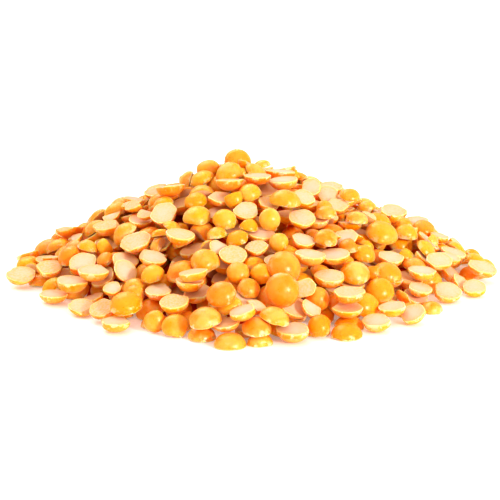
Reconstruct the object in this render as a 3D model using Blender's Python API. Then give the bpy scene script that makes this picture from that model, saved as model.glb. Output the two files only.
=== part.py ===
"""A loose heap of dry yellow split peas, as one solid that rests on a flat surface.

Metres, +Z up. The origin is in the middle of the heap's underside, and the front is on the -Y side.
The heap is a low mound with the peas that show fused onto it, each at its true size.
"""

import math
import random
from collections import namedtuple

import bmesh
import bpy
import numpy as np

MM = 0.001

# The mound: how far it reaches, how high it stands, and how its footprint runs to a point at each end
HEAP_REACH = 53.5 * MM
HEAP_TOP = 24.5 * MM
TOP_ROUNDING = 0.20
EDGE_THICK = 2.6 * MM
FRONT_POINTED = 1.45
BACK_POINTED = 1.65
APEX_X = -1.0 * MM

# A half pea: its width, and its thickness as a share of that
PEA_WIDE = (5.6 * MM, 7.4 * MM)
SMALL_PEA_WIDE = (4.2 * MM, 5.6 * MM)
PEA_THICK = (0.37, 0.47)
SHOWN_THICK = 0.42
LEAST_ROUND = 0.9
BROKEN_SHARE = 0.08
SMALL_BROKEN_SHARE = 0.4

# The rule that lays the peas, on a square grid of heights
CELL = 0.35 * MM
HALF_GRID = 66 * MM
WINDOW = 26
LAYERS = 8.0 * MM
LAST_LAYER = 2.4 * MM
SEED = 11
MOST_PEAS = 2000
SPOTS_TRIED = 160
MOST_MISSES = 12
MIN_LACK = 1.7 * MM
SMALL_LACK = 2.8 * MM
MOST_OVER = 0.5 * MM
DEEP_LACK = 3.0 * MM
DEEP_SHARE = 0.3
MOST_COVERED = 0.22
CLOSED = 10.0 * MM
CLOSED_CELLS = 4
SLOPE_CELLS = 6
STEEPEST = 0.6
LEAN = 0.33
FACE_UP_SHARE = 0.5
BROKEN_AT = (0.0, 0.5)

# How a pea finds its rest: rounds of tries, each round moving and turning it less than the one before.
# Its weight lies this share of its thickness over the flat face, and this share of a broken part to the side.
ROUNDS = 6
TRIES = 12
MOVE = 1.5 * MM
SWING = 0.22
SHOWN_ROUNDS = 4
SHOWN_MOVE = 0.3 * MM
SHOWN_SWING = 0.08
FADE = 0.75
NEARER = 0.5
WEIGHT_HIGH = 0.375
WEIGHT_ASIDE = 0.35

# Rounding that keeps the layout the same on every machine
LEAST_RISE = 1e-9
COUNTED = 1e7
TURN_HALVINGS = 12

# The front view: the eye stands this far off and this many degrees up, and aims at this spot
VIEW_AWAY = 450 * MM
VIEW_UP = 15
AIM_X = -0.2 * MM
AIM_Z = 5.6 * MM
VIEW_COS = round(math.cos(math.radians(VIEW_UP)), 6)
VIEW_SIN = round(math.sin(math.radians(VIEW_UP)), 6)
SIGHT_STEP = 0.5 * MM
SIGHT_FROM = -58 * MM
SIGHT_TO = 30 * MM
SURFACE_PULL = 0.15
SHOWN_BELOW = 0.8 * MM
SHOWN_ROUND = 0.96
SHOWN_LEAST_TALL = 0.01
LEVEL_LEAST_TALL = 0.04
LEAST_SIN = 0.2

# The peas that stand out from the front, in millimetres on a sheet through the aim, square to the view:
# what each shows, across, up, its outline's width and height, and its tilt in degrees.
# "back" shows the rounded back, "face" the flat face, "level" the rim of a face that lies nearly level.
TOP_PEAS = (
    ("back", -2.5, 20.5, 6.5, 6.5, 0),
    ("back", -9.5, 19.0, 6.0, 4.5, 0),
    ("face", -14.5, 14.0, 6.0, 4.5, 0),
    ("face", -7.0, 12.5, 6.0, 4.5, 0),
    ("face", 6.5, 18.0, 7.5, 4.5, -8),
    ("level", 7.5, 15.5, 7.0, 3.5, -5),
    ("face", 13.5, 15.0, 5.5, 5.0, 0),
    ("face", 18.0, 14.0, 5.0, 4.5, 0),
    ("back", 22.5, 13.0, 5.0, 4.0, 0),
    ("level", -4.0, 15.5, 7.0, 3.5, 3),
    ("back", 0.0, 13.5, 6.0, 4.0, 25),
    ("back", -8.5, 16.5, 4.0, 3.5, 60),
    ("face", -19.0, 9.0, 7.0, 6.0, 20),
    ("back", -12.5, 11.5, 6.0, 4.0, 0),
    ("back", -12.0, 8.5, 7.0, 5.0, -10),
    ("face", -1.0, 9.0, 6.0, 5.0, -15),
    ("back", -6.0, 7.5, 5.5, 4.5, -10),
    ("face", 11.5, 8.5, 6.5, 5.0, 0),
    ("back", 17.0, 9.0, 5.0, 3.5, -10),
    ("face", 19.5, 10.5, 6.0, 4.0, -5),
    ("back", 4.5, 7.0, 5.0, 5.5, 0),
    ("back", 8.0, 6.5, 4.0, 4.5, 0),
    ("back", -4.5, 6.5, 4.5, 3.0, 10),
    ("face", 4.0, 11.0, 5.5, 4.0, -30),
    ("back", 8.0, 12.0, 7.5, 4.0, -12),
)
MIDDLE_PEAS = (
    ("back", -3.0, 3.5, 5.5, 4.0, 10),
    ("level", -15.5, 4.0, 7.0, 3.5, -5),
    ("face", -7.5, 1.0, 4.5, 4.0, -35),
    ("face", 1.5, 2.0, 5.5, 4.5, 10),
    ("back", 6.5, 2.5, 4.5, 4.0, 30),
    ("face", 11.5, 2.5, 5.5, 4.0, -25),
    ("back", 17.0, 3.0, 6.0, 4.5, -15),
    ("face", 22.0, 3.5, 5.5, 5.0, 20),
    ("back", 24.0, 7.5, 5.5, 3.5, 0),
    ("back", 29.5, 5.0, 7.5, 5.5, 0),
    ("back", 7.5, -2.5, 7.5, 7.0, 0),
    ("back", 7.5, -8.5, 7.5, 7.5, 0),
    ("face", 12.5, -7.5, 5.0, 5.0, -30),
    ("back", 23.5, -4.5, 7.0, 6.0, 0),
    ("face", 22.5, -9.5, 7.5, 5.0, 0),
    ("level", 21.5, -13.0, 7.0, 4.0, -5),
    ("level", 19.5, -1.0, 7.0, 3.5, 0),
    ("level", 17.5, -5.5, 7.0, 4.0, -10),
    ("back", 15.0, -10.5, 5.5, 5.5, 20),
    ("back", -6.5, -9.0, 6.5, 6.0, 25),
    ("back", -0.5, -8.0, 5.5, 5.0, -20),
    ("back", 3.0, -5.0, 5.5, 5.0, 0),
    ("back", -2.5, -4.5, 5.5, 5.0, 0),
    ("face", -13.0, -5.0, 7.0, 4.0, 22),
    ("level", 13.0, -1.5, 7.0, 3.5, -8),
    ("back", -10.5, -1.5, 7.0, 5.0, 15),
    ("back", -16.0, -4.0, 7.0, 4.0, 25),
    ("face", -22.0, -1.0, 6.5, 5.0, -15),
    ("level", -28.5, -2.0, 6.5, 4.0, -5),
    ("face", -26.0, 2.5, 7.0, 6.0, 20),
    ("back", -22.0, -5.0, 6.0, 4.0, 0),
    ("level", -20.5, -8.5, 6.5, 3.5, 0),
    ("face", -16.5, -11.5, 7.0, 5.0, 10),
    ("level", -13.5, -8.0, 6.5, 3.0, 0),
)
FRONT_AND_LEFT_PEAS = (
    ("back", -10.0, -14.5, 7.5, 5.0, -5),
    ("back", 5.5, -14.0, 7.0, 4.5, -5),
    ("face", -1.0, -13.5, 6.5, 4.0, 8),
    ("back", -4.5, -12.0, 6.0, 4.0, 10),
    ("face", -5.0, -16.0, 6.0, 4.0, 0),
    ("face", 9.5, -18.0, 7.5, 5.0, 0),
    ("back", 16.0, -16.5, 5.5, 5.0, 10),
    ("back", 21.5, -17.5, 7.0, 4.5, 0),
    ("face", 28.5, -16.0, 6.5, 5.0, 10),
    ("back", 1.5, -17.0, 7.0, 4.5, -8),
    ("back", 2.5, -20.0, 5.5, 3.5, 0),
    ("back", -11.0, -18.5, 6.5, 4.5, 0),
    ("back", -4.0, -19.0, 7.0, 4.5, 0),
    ("back", -17.0, -16.5, 6.0, 5.0, -30),
    ("back", -21.5, -16.0, 5.0, 5.0, 0),
    ("face", -30.5, -16.5, 7.0, 4.0, 8),
    ("back", -28.5, -12.0, 7.5, 5.5, 15),
    ("face", -38.0, -11.5, 6.0, 4.5, 0),
    ("face", -33.0, -12.5, 6.0, 5.0, 10),
    ("level", -44.5, -9.5, 6.5, 4.0, -12),
    ("face", -40.5, -7.0, 7.5, 3.5, -5),
    ("face", -51.5, -5.0, 7.0, 4.5, 0),
    ("face", -45.0, -3.5, 6.5, 4.0, 0),
    ("face", -35.5, -4.5, 7.5, 5.0, 0),
    ("face", -31.0, -8.0, 4.5, 3.5, 5),
    ("back", -26.0, -7.0, 5.5, 4.0, 10),
    ("back", -37.5, 4.5, 6.0, 4.0, 0),
    ("back", -40.5, -0.5, 6.0, 4.5, 20),
    ("back", -50.0, -2.0, 6.0, 3.0, 10),
    ("back", -37.0, 1.5, 5.0, 3.0, 0),
)
RIGHT_PEAS = (
    ("back", 31.0, -4.5, 7.0, 5.5, 0),
    ("back", 29.5, -9.0, 6.5, 6.0, 10),
    ("level", 39.0, -5.0, 6.5, 4.0, 0),
    ("face", 42.5, -1.5, 6.0, 5.0, 0),
    ("face", 44.5, -9.0, 7.0, 6.0, 0),
    ("face", 50.5, -8.0, 6.0, 5.0, -10),
    ("face", 52.0, -3.5, 7.0, 5.0, -30),
    ("back", 37.5, -1.5, 5.5, 4.0, 0),
    ("face", 37.0, -14.0, 6.5, 5.0, 35),
    ("level", 32.5, -12.5, 6.5, 4.0, -5),
    ("back", 41.0, -12.0, 5.5, 3.5, 0),
    ("face", 38.0, -8.5, 6.0, 4.0, -10),
    ("face", 31.5, -1.5, 6.0, 4.0, 0),
    ("face", 37.5, 6.5, 7.0, 5.0, 0),
    ("back", 35.0, 4.5, 6.0, 3.5, 0),
    ("back", 25.5, 0.0, 5.5, 4.0, 0),
    ("face", 26.0, 10.0, 5.0, 4.0, 0),
)
SHOWN_PEAS = TOP_PEAS + MIDDLE_PEAS + FRONT_AND_LEFT_PEAS + RIGHT_PEAS

# The solid: low peas of a few sides fused onto a plain core
FULLER_SIDES = 8
PLAINER_SIDES = 6
FULLER_PEAS = 60
SHOULDER_REACH = 0.78
SHOULDER_RISE = 0.66
FUSED_SIZE = 1.06
FUSED_PEAS = 215
FUSED_SINK = 0.5 * MM
LEAST_SHOWN = 4.0 * MM * MM
FOOT_GAP = 0.05 * MM
MIDDLE_X = 0.7 * MM
MIDDLE_Y = -2.1 * MM
CORE_SPOKES = 28
CORE_RINGS = 7
CORE_BELOW = 2.4 * MM
ROOT_DEEP = 2.2 * MM
CORE_LEAST = 1.2 * MM
CORE_INSET = 2.0 * MM
CORE_SEARCH = HALF_GRID - 2 * MM
CORE_SMOOTHING = 5
PEA_COLOUR = (0.87, 0.47, 0.13, 1.0)
PEA_ROUGHNESS = 0.45
SMOOTH_BELOW = math.radians(35)

Pea = namedtuple("Pea", "place turn half_size cut")
Rest = namedtuple("Rest", "middle turn x y lift cols rows low high")


def sum_of(items):
    """The items added in their order, so that the last digit is the same everywhere."""
    total = 0
    for item in items:
        total = total + item
    return total


def reach_share(x, y):
    """0 in the middle of the heap's footprint and 1 on its edge."""
    power = np.where(y < 0, FRONT_POINTED, BACK_POINTED)
    return (np.abs(x / HEAP_REACH) ** power + np.abs(y / HEAP_REACH) ** power) ** (1 / power)


def mound_height(x, y):
    """The smooth surface that the peas fill up to: a cone with a rounded top and a low edge."""
    share = reach_share(x, y)
    to_apex = reach_share(x - APEX_X * (1 - np.minimum(share, 1)), y)
    full = math.sqrt(1 + TOP_ROUNDING ** 2)
    slope = (full - np.sqrt(to_apex ** 2 + TOP_ROUNDING ** 2)) / (full - TOP_ROUNDING)
    height = EDGE_THICK + (HEAP_TOP - EDGE_THICK) * slope
    return np.round(np.where(share < 1, height, 0.0), 6)


def unit(values):
    """A quaternion or vector at length 1."""
    length = math.sqrt(sum_of(v * v for v in values))
    return tuple(v / length for v in values)


def times(p, q):
    """The turn q followed by the turn p."""
    a, b, c, d = p
    e, f, g, h = q
    return (
        a * e - b * f - c * g - d * h,
        a * f + b * e + c * h - d * g,
        a * g - b * h + c * e + d * f,
        a * h + b * g - c * f + d * e,
    )


def up_onto(direction):
    """The turn that takes +Z onto a unit direction."""
    x, y, z = direction
    return unit((1 + z, -y, x, 0))


def matrix_of(turn):
    """The nine numbers of a turn, as rows."""
    w, x, y, z = turn
    return np.array([
        [1 - 2 * (y * y + z * z), 2 * (x * y - w * z), 2 * (x * z + w * y)],
        [2 * (x * y + w * z), 1 - 2 * (x * x + z * z), 2 * (y * z - w * x)],
        [2 * (x * z - w * y), 2 * (y * z + w * x), 1 - 2 * (x * x + y * y)],
    ])


def clipped(low, high, flat, rise, limit):
    """The stretch between low and high that lies on the far side of a plane."""
    safe = np.where(np.abs(rise) < LEAST_RISE, LEAST_RISE, rise)
    at = (limit - flat) / safe
    low = np.where(safe > 0, np.maximum(low, at), low)
    high = np.where(safe < 0, np.minimum(high, at), high)
    return low, high


def outline_share(away, thick):
    """How tall a half pea looks against its width, with its axis this many radians off the line of sight."""
    cos, sin = round(math.cos(away), 6), round(math.sin(away), 6)
    return 0.5 * cos + math.sqrt(0.25 * cos ** 2 + (thick * sin) ** 2)


def away_for(share):
    """The angle off the line of sight at which a half pea looks this tall, found by halving."""
    near, far = 0.0, math.pi / 2
    for _ in range(TURN_HALVINGS):
        middle = (near + far) / 2
        if outline_share(middle, SHOWN_THICK) > share:
            near = middle
        else:
            far = middle
    return far


class Heap:
    """Peas laid one by one onto a grid of heights, each where it rests lowest."""

    def __init__(self):
        self.draw = random.Random(SEED)
        cells = int(2 * HALF_GRID / CELL)
        line = (np.arange(cells) + 0.5) * CELL - HALF_GRID
        self.x, self.y = np.meshgrid(line, line, indexing="ij")
        self.mound = mound_height(self.x, self.y)
        self.height = np.maximum(self.mound - LAYERS, 0.0)
        self.owner = np.full((cells, cells), -1)
        self.shown = np.zeros((cells, cells), bool)
        self.peas = []

    def cell(self, x, y):
        return int((x + HALF_GRID) / CELL), int((y + HALF_GRID) / CELL)

    def spans(self, xs, ys, turns, half_size, cut):
        """Where the under and upper side of a pea lie over each cell round it, measured from its own middle.

        The pea is the upper half of an ellipsoid, and a broken one also lacks what is past its cut.
        """
        steps = np.arange(WINDOW) - WINDOW // 2
        cols = np.floor((xs + HALF_GRID) / CELL).astype(int)[:, None] + steps
        rows = np.floor((ys + HALF_GRID) / CELL).astype(int)[:, None] + steps
        dx = ((cols + 0.5) * CELL - HALF_GRID - xs[:, None])[:, :, None]
        dy = ((rows + 0.5) * CELL - HALF_GRID - ys[:, None])[:, None, :]
        turns = turns[:, :, :, None, None]
        flat = [turns[:, 0, i] * dx + turns[:, 1, i] * dy for i in range(3)]
        rise = [turns[:, 2, i] for i in range(3)]
        squares = sum_of(r * r / (s * s) for r, s in zip(rise, half_size))
        mixed = sum_of(f * r / (s * s) for f, r, s in zip(flat, rise, half_size))
        rest = sum_of(f * f / (s * s) for f, s in zip(flat, half_size)) - 1
        inside = mixed * mixed - squares * rest
        root = np.sqrt(np.maximum(inside, 0))
        low, high = (-mixed - root) / squares, (-mixed + root) / squares
        low, high = clipped(low, high, flat[2], rise[2], 0.0)
        low, high = clipped(low, high, flat[0], rise[0], -cut)
        solid = (inside > 0) & (high > low)
        return cols, rows, np.where(solid, low, np.inf), np.where(solid, high, -np.inf)

    def rested(self, xs, ys, turns, half_size, cut):
        """How high a pea's middle is once it rests on what is laid, at each of these places and turns."""
        cols, rows, low, high = self.spans(xs, ys, turns, half_size, cut)
        under = self.height[cols[:, :, None], rows[:, None, :]]
        lift = (under - low).reshape(len(xs), -1).max(1)
        return lift, (cols, rows, low, high)

    def lying(self, x, y, face_up):
        """A turn with the pea's face along the mound's slope, give or take, and spun at random."""
        i, j = self.cell(x, y)
        across = 2 * SLOPE_CELLS * CELL
        slopes = (
            (self.mound[i - SLOPE_CELLS, j] - self.mound[i + SLOPE_CELLS, j]) / across,
            (self.mound[i, j - SLOPE_CELLS] - self.mound[i, j + SLOPE_CELLS]) / across,
        )
        lean = [max(-STEEPEST, min(STEEPEST, s)) + self.draw.uniform(-LEAN, LEAN) for s in slopes]
        spin = unit((self.draw.uniform(-1, 1), 0, 0, self.draw.uniform(-1, 1)))
        side = (0, 1, 0, 0) if face_up else (1, 0, 0, 0)
        return unit(times(times(up_onto(unit((lean[0], lean[1], 1))), side), spin))

    def settle(self, x, y, half_size, cut, turn=None, rounds=ROUNDS, move=MOVE, swing=SWING):
        """The lowest rest found near a place: a first round of tries, then smaller moves from the best."""
        draw = self.draw
        best = None
        face_up = draw.random() < FACE_UP_SHARE
        for fade in (FADE ** step for step in range(rounds)):
            turns, xs, ys = [], [], []
            for _ in range(TRIES):
                if best is None:
                    turns.append(self.lying(x, y, face_up) if turn is None else turn)
                    xs.append(x + draw.uniform(-move, move))
                    ys.append(y + draw.uniform(-move, move))
                else:
                    turned = swing * fade
                    nudge = unit([1] + [draw.uniform(-turned, turned) for _ in range(3)])
                    turns.append(unit(times(nudge, best.turn)))
                    reach = NEARER * move * fade
                    xs.append(best.x + draw.uniform(-reach, reach))
                    ys.append(best.y + draw.uniform(-reach, reach))
            matrices = np.array([matrix_of(q) for q in turns])
            lift, spans = self.rested(np.array(xs), np.array(ys), matrices, half_size, cut)
            lost = WEIGHT_ASIDE * max(0, half_size[0] - cut)
            middle = lift + matrices[:, 2, 2] * WEIGHT_HIGH * half_size[2] + matrices[:, 2, 0] * lost
            i = int(middle.argmin())
            if best is None or middle[i] < best.middle:
                window = [s[i] for s in spans]
                best = Rest(float(middle[i]), turns[i], xs[i], ys[i], float(lift[i]), *window)
        return best

    def lay(self, rest, half_size, cut, shown=False):
        """Keeps a pea where it rests, and raises the heights under its window to its upper side."""
        window = np.ix_(rest.cols, rest.rows)
        top = rest.lift + rest.high
        covers = top > self.height[window]
        self.height[window] = np.where(covers, top, self.height[window])
        self.owner[window] = np.where(covers, len(self.peas), self.owner[window])
        self.shown[window] = np.where(covers, shown, self.shown[window])
        self.peas.append(Pea((rest.x, rest.y, rest.lift), rest.turn, half_size, cut))

    def fits(self, rest, goal, lack):
        """Whether a pea stands no prouder than allowed, over the footprint and clear of the shown peas."""
        window = np.ix_(rest.cols, rest.rows)
        solid = np.isfinite(rest.high)
        cells = int(solid.sum())
        over = np.where(solid, rest.lift + rest.high - goal[window], 0)
        proud = int(np.round(over * COUNTED).astype(np.int64).sum()) / COUNTED / cells
        covered = int((solid & self.shown[window]).sum()) / cells
        allowed = MOST_OVER + DEEP_SHARE * max(0, lack - DEEP_LACK)
        return proud <= allowed and covered <= MOST_COVERED and self.mound[self.cell(rest.x, rest.y)] > 0

    def fill(self, below=0.0, wide_range=PEA_WIDE, least_lack=MIN_LACK, broken=BROKEN_SHARE):
        """Drops peas where the most is missing under the mound's surface, until little is."""
        draw = self.draw
        goal = np.maximum(self.mound - below, 0.0)
        closed = np.where(self.shown, CLOSED, 0.0)
        misses = 0
        while len(self.peas) < MOST_PEAS and misses <= MOST_MISSES:
            spots = [(draw.randrange(len(goal)), draw.randrange(len(goal))) for _ in range(SPOTS_TRIED)]
            lacks = [goal[s] - self.height[s] - closed[s] for s in spots]
            lack = max(lacks)
            if lack < least_lack:
                misses += 1
                continue
            i, j = spots[lacks.index(lack)]
            wide = (draw.uniform(*wide_range) + draw.uniform(*wide_range)) / 2
            half_size = (wide / 2, wide / 2 * draw.uniform(LEAST_ROUND, 1.0), wide * draw.uniform(*PEA_THICK))
            cut = half_size[0]
            if draw.random() < broken:
                cut *= draw.uniform(*BROKEN_AT)
            rest = self.settle(float(self.x[i, j]), float(self.y[i, j]), half_size, cut)
            if self.fits(rest, goal, lack):
                self.lay(rest, half_size, cut)
            else:
                closed[i - CLOSED_CELLS:i + CLOSED_CELLS, j - CLOSED_CELLS:j + CLOSED_CELLS] += CLOSED

    def show(self, shows, across, up, wide, tall, tilt):
        """Lays a pea where the front shows it, as far back on its line of sight as the mound's surface."""
        share = min(1.0, max(tall / wide, SHOWN_THICK + SHOWN_LEAST_TALL))
        if shows == "level":
            share = max(share, SHOWN_THICK + LEVEL_LEAST_TALL)
        away = away_for(share)
        cos, sin = round(math.cos(away), 6), round(math.sin(away), 6)
        tilt_cos, tilt_sin = round(math.cos(math.radians(tilt)), 6), round(math.sin(math.radians(tilt)), 6)
        to_eye = (0.0, -VIEW_COS, VIEW_SIN)
        sheet_up = (0.0, VIEW_SIN, VIEW_COS)
        lean = (-tilt_sin, sheet_up[1] * tilt_cos, sheet_up[2] * tilt_cos)
        axis = [e * cos + u * sin for e, u in zip(to_eye, lean)]
        if shows != "back":
            axis = [-v for v in axis]
        spin = unit((self.draw.uniform(-1, 1), 0, 0, self.draw.uniform(-1, 1)))
        turn = unit(times(up_onto(unit(axis)), spin))
        half_size = (wide / 2, wide / 2 * SHOWN_ROUND, wide * SHOWN_THICK)
        ahead = (outline_share(away, SHOWN_THICK) - cos) / 2 / max(sin, LEAST_SIN) * wide
        eye = (AIM_X, -VIEW_AWAY * VIEW_COS, AIM_Z + VIEW_AWAY * VIEW_SIN)
        spot = (AIM_X + across, sheet_up[1] * up, AIM_Z + sheet_up[2] * up)
        sight = [s - e for s, e in zip(spot, eye)]
        steps = int(round((SIGHT_TO - SIGHT_FROM) / SIGHT_STEP))
        along = (SIGHT_FROM + np.arange(steps) * SIGHT_STEP - eye[1]) / sight[1]
        xs, ys, zs = (e + s * along - a * ahead for e, s, a in zip(eye, sight, axis))
        lift, _ = self.rested(xs, ys, np.array([matrix_of(turn)] * steps), half_size, half_size[0])
        surface = np.array([self.mound[self.cell(x, y)] for x, y in zip(xs, ys)]) - SHOWN_BELOW
        i = int((np.abs(lift - zs) + SURFACE_PULL * np.abs(zs - surface)).argmin())
        rest = self.settle(float(xs[i]), float(ys[i]), half_size, half_size[0],
                           turn=turn, rounds=SHOWN_ROUNDS, move=SHOWN_MOVE, swing=SHOWN_SWING)
        self.lay(rest, half_size, half_size[0], shown=True)

    def shown_area(self):
        """The area in which each pea is the topmost."""
        counts = np.bincount(self.owner[self.owner >= 0].ravel(), minlength=len(self.peas))
        return counts * CELL * CELL


def laid_heap():
    """The whole heap: the lower layers, the peas that the front shows, the last layer, and small pieces."""
    heap = Heap()
    heap.fill(below=LAST_LAYER)
    for shows, across, up, wide, tall, tilt in sorted(SHOWN_PEAS, key=lambda pea: pea[2]):
        heap.show(shows, across * MM, up * MM, wide * MM, tall * MM, tilt)
    heap.fill()
    heap.fill(wide_range=SMALL_PEA_WIDE, least_lack=SMALL_LACK, broken=SMALL_BROKEN_SHARE)
    return heap


def smoothed(height):
    """The heights, each as the mean of the cells round it."""
    reach = range(-CORE_SMOOTHING, CORE_SMOOTHING + 1)
    along = sum_of(np.roll(height, step, axis=0) for step in reach)
    both = sum_of(np.roll(along, step, axis=1) for step in reach)
    return both / len(reach) ** 2


def core_mesh(heap):
    """The mound under the peas that show: rings of points on spokes, a short wall and a flat underside."""
    height = smoothed(heap.height)
    rings = []
    edges = []
    turns = [2 * math.pi * i / CORE_SPOKES for i in range(CORE_SPOKES)]
    ways = [(round(math.cos(t), 6), round(math.sin(t), 6)) for t in turns]
    for way in ways:
        reach = CORE_SEARCH
        while height[heap.cell(way[0] * reach, way[1] * reach)] < CORE_LEAST:
            reach -= CELL
        edges.append(reach - CORE_INSET)
    edges = [(edges[i - 1] + 2 * edges[i] + edges[(i + 1) % CORE_SPOKES]) / 4 for i in range(CORE_SPOKES)]
    for ring in range(1, CORE_RINGS + 1):
        points = []
        for way, edge in zip(ways, edges):
            x, y = way[0] * edge * ring / CORE_RINGS, way[1] * edge * ring / CORE_RINGS
            points.append((x, y, max(height[heap.cell(x, y)] - CORE_BELOW, CORE_LEAST)))
        rings.append(points)
    rings.append([(x, y, 0.0) for x, y, _ in rings[-1]])
    shape = bmesh.new()
    top = shape.verts.new((-MIDDLE_X, -MIDDLE_Y, height[heap.cell(0.0, 0.0)] - CORE_BELOW))
    loops = [[shape.verts.new((x - MIDDLE_X, y - MIDDLE_Y, z)) for x, y, z in points] for points in rings]
    for i in range(CORE_SPOKES):
        after = (i + 1) % CORE_SPOKES
        shape.faces.new((top, loops[0][i], loops[0][after]))
        for inner, outer in zip(loops, loops[1:]):
            shape.faces.new((inner[i], outer[i], outer[after], inner[after]))
    shape.faces.new(list(reversed(loops[-1])))
    bmesh.ops.triangulate(shape, faces=[f for f in shape.faces if len(f.verts) == 4])
    mesh = bpy.data.meshes.new("core")
    shape.to_mesh(mesh)
    shape.free()
    return mesh


def pea_mesh(pea, sides):
    """One low pea: a flat face, a rim, a shoulder and a crown, and an underside drawn into the core."""
    turn = matrix_of(pea.turn)
    root = ROOT_DEEP * turn[2][2] / pea.half_size[2]

    def placed(x, y, z):
        x = max(x * pea.half_size[0], -pea.cut) * FUSED_SIZE
        y *= pea.half_size[1] * FUSED_SIZE
        z *= pea.half_size[2] * FUSED_SIZE
        at = [turn[i][0] * x + turn[i][1] * y + turn[i][2] * z + pea.place[i] for i in range(3)]
        return at[0] - MIDDLE_X, at[1] - MIDDLE_Y, max(at[2] - FUSED_SINK, FOOT_GAP)

    shape = bmesh.new()
    loops = []
    for reach, rise in ((1.0, 0.0), (SHOULDER_REACH, SHOULDER_RISE)):
        turns = [2 * math.pi * i / sides for i in range(sides)]
        ways = [(round(math.cos(t), 6) * reach, round(math.sin(t), 6) * reach) for t in turns]
        loops.append([shape.verts.new(placed(x, y, rise)) for x, y in ways])
    crown = shape.verts.new(placed(0.0, 0.0, 1.0 + max(0.0, -root)))
    rim, shoulder = loops
    if root > 0:
        under = shape.verts.new(placed(0.0, 0.0, -root))
    for i in range(sides):
        after = (i + 1) % sides
        shape.faces.new((rim[i], rim[after], shoulder[after], shoulder[i]))
        shape.faces.new((shoulder[i], shoulder[after], crown))
        if root > 0:
            shape.faces.new((rim[after], rim[i], under))
    if root <= 0:
        shape.faces.new(list(reversed(rim)))
    bmesh.ops.triangulate(shape, faces=shape.faces[:])
    mesh = bpy.data.meshes.new("pea")
    shape.to_mesh(mesh)
    shape.free()
    return mesh


def signed_volume(faces):
    return sum(f.verts[0].co.cross(f.verts[1].co).dot(f.verts[2].co) for f in faces) / 6


def keep_outer_body(mesh):
    """Drops loose scraps and the walls of sealed hollows, so that one solid body is left."""
    shape = bmesh.new()
    shape.from_mesh(mesh)
    bmesh.ops.triangulate(shape, faces=shape.faces[:])
    left = set(shape.faces)
    bodies = []
    while left:
        body, edge = set(), [left.pop()]
        while edge:
            face = edge.pop()
            body.add(face)
            near = {other for e in face.edges for other in e.link_faces} & left
            left -= near
            edge.extend(near)
        bodies.append(body)
    outer = max(bodies, key=signed_volume)
    bmesh.ops.delete(shape, geom=[f for f in shape.faces if f not in outer], context="FACES")
    shape.to_mesh(mesh)
    shape.free()


def pea_material():
    material = bpy.data.materials.new("split_pea")
    material.use_nodes = True
    shader = material.node_tree.nodes["Principled BSDF"]
    shader.inputs["Base Color"].default_value = PEA_COLOUR
    shader.inputs["Roughness"].default_value = PEA_ROUGHNESS
    shader.inputs["Metallic"].default_value = 0.0
    return material


def pea_heap():
    """The heap as one object: the core with the peas that show the most joined on by a union."""
    heap = laid_heap()
    areas = heap.shown_area()
    order = sorted(range(len(heap.peas)), key=lambda i: (-areas[i], i))
    fused = [heap.peas[i] for i in order[:FUSED_PEAS] if areas[i] > LEAST_SHOWN]
    body = bpy.data.objects.new("pea_heap", core_mesh(heap))
    bpy.context.scene.collection.objects.link(body)
    pieces = bpy.data.collections.new("fused_peas")
    for place, pea in enumerate(fused):
        sides = FULLER_SIDES if place < FULLER_PEAS else PLAINER_SIDES
        pieces.objects.link(bpy.data.objects.new("fused_pea", pea_mesh(pea, sides)))
    join = body.modifiers.new("fuse", "BOOLEAN")
    join.operation = "UNION"
    join.solver = "EXACT"
    join.operand_type = "COLLECTION"
    join.collection = pieces
    bpy.context.view_layer.objects.active = body
    bpy.ops.object.modifier_apply(modifier=join.name)
    for piece in list(pieces.objects):
        bpy.data.meshes.remove(piece.data)
    bpy.data.collections.remove(pieces)
    keep_outer_body(body.data)
    body.data.materials.clear()
    body.data.materials.append(pea_material())
    body.data.shade_smooth()
    body.data.set_sharp_from_angle(angle=SMOOTH_BELOW)
    return body


for leftover in list(bpy.data.objects):
    bpy.data.objects.remove(leftover)
pea_heap()
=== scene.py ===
"""A loose heap of dry yellow split peas, modelled pea by pea, with skin and flesh finishes and soft light.

Metres, in the frame's own axes. The heap is laid by the same rule as the solid that it replaces.
"""

import math
import random
from collections import namedtuple

import bmesh
import bpy
import numpy as np
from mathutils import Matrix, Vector


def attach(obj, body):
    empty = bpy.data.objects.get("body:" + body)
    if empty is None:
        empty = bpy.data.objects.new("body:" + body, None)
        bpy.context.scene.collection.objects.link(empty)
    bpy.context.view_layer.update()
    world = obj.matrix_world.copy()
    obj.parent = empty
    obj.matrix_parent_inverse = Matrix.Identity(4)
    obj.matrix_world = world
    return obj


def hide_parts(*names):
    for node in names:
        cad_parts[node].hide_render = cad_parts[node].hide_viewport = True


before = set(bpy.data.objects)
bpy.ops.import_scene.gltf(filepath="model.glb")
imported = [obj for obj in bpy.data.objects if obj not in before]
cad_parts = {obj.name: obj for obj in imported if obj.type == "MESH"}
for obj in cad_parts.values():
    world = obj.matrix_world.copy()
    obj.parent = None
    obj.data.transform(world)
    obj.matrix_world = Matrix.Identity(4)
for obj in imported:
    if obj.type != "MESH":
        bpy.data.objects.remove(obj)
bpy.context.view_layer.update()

MM = 0.001

# The mound: how far it reaches, how high it stands, and how its footprint runs to a point at each end
HEAP_REACH = 53.5 * MM
HEAP_TOP = 24.5 * MM
TOP_ROUNDING = 0.20
EDGE_THICK = 2.6 * MM
FRONT_POINTED = 1.45
BACK_POINTED = 1.65
APEX_X = -1.0 * MM

# A half pea: its width, and its thickness as a share of that
PEA_WIDE = (5.6 * MM, 7.4 * MM)
SMALL_PEA_WIDE = (4.2 * MM, 5.6 * MM)
PEA_THICK = (0.37, 0.47)
SHOWN_THICK = 0.42
LEAST_ROUND = 0.9
BROKEN_SHARE = 0.08
SMALL_BROKEN_SHARE = 0.4

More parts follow.
